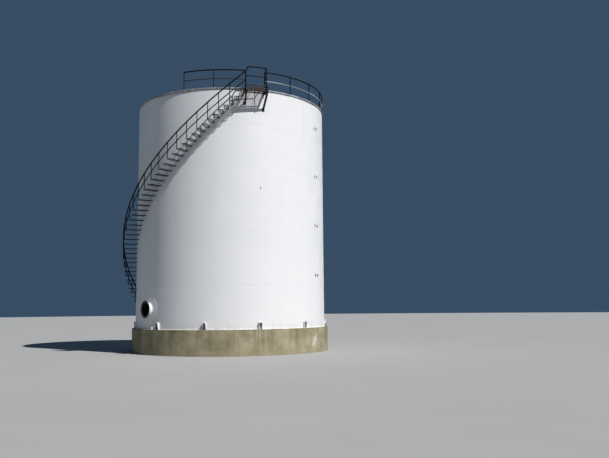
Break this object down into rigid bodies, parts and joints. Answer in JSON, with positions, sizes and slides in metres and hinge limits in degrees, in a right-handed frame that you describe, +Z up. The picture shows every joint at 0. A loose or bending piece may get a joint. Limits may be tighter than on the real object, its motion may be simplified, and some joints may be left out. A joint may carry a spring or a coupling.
{
  "type": "vertical storage tank",
  "caption": "Welded steel storage tank on a concrete ring, with a cone roof, an open shell manway, a spiral stair up to a rim platform and a part railing round the roof edge.",
  "frame": {"origin": "centre of the foundation's underside, on the ground on the tank's axis", "axes": "+Z up along the tank's axis, -Y out through the shell manway"},
  "size_m": [10.4871, 10.3086, 13.2577],
  "materials": {
    "concrete": "weathered cast concrete with rain streaks",
    "packed_fill": "packed sand and gravel",
    "white_paint": "white gloss paint, a little dusty",
    "rail_paint": "near-black paint on pipe",
    "stair_steel": "dull grey zinc coat on grating, dark paint at the tread ends",
    "primer": "dull red-brown primer"
  },
  "bodies": {
    "root": {"ring_foundation": "concrete", "foundation_fill": "packed_fill", "bottom_plate": "white_paint", "shell_course_1": "white_paint", "shell_course_2": "white_paint", "shell_course_3": "white_paint", "shell_course_4": "white_paint", "shell_course_5": "white_paint", "shell_course_6": "white_paint", "curb_angle": "white_paint", "cone_roof": "white_paint", "roof_vent": "white_paint", "roof_manway": "white_paint", "gauge_hatch": "white_paint", "manway_neck": "white_paint", "manway_pad": "white_paint", "anchor_chair_01": "white_paint", "anchor_chair_02": "white_paint", "anchor_chair_03": "white_paint", "anchor_chair_04": "white_paint", "anchor_chair_05": "white_paint", "anchor_chair_06": "white_paint", "anchor_chair_07": "white_paint", "anchor_chair_08": "white_paint", "anchor_chair_09": "white_paint", "anchor_chair_10": "white_paint", "anchor_chair_11": "white_paint", "anchor_chair_12": "white_paint", "clip_pair_1": "white_paint", "clip_pair_2": "white_paint", "clip_pair_3": "white_paint", "clip_pair_4": "white_paint", "shell_lug": "white_paint", "grounding_lug": "white_paint", "stair_flight_1": "stair_steel", "stair_flight_2": "stair_steel", "stair_flight_3": "stair_steel", "stair_flight_4": "stair_steel", "stair_handrail_lower": "rail_paint", "stair_handrail_upper": "rail_paint", "platform_floor": "primer", "platform_toe_plate": "primer", "platform_bracket_left": "primer", "platform_bracket_right": "primer", "platform_railing": "rail_paint", "roof_railing_left": "rail_paint", "roof_railing_right": "rail_paint"}
  },
  "joints": []
}
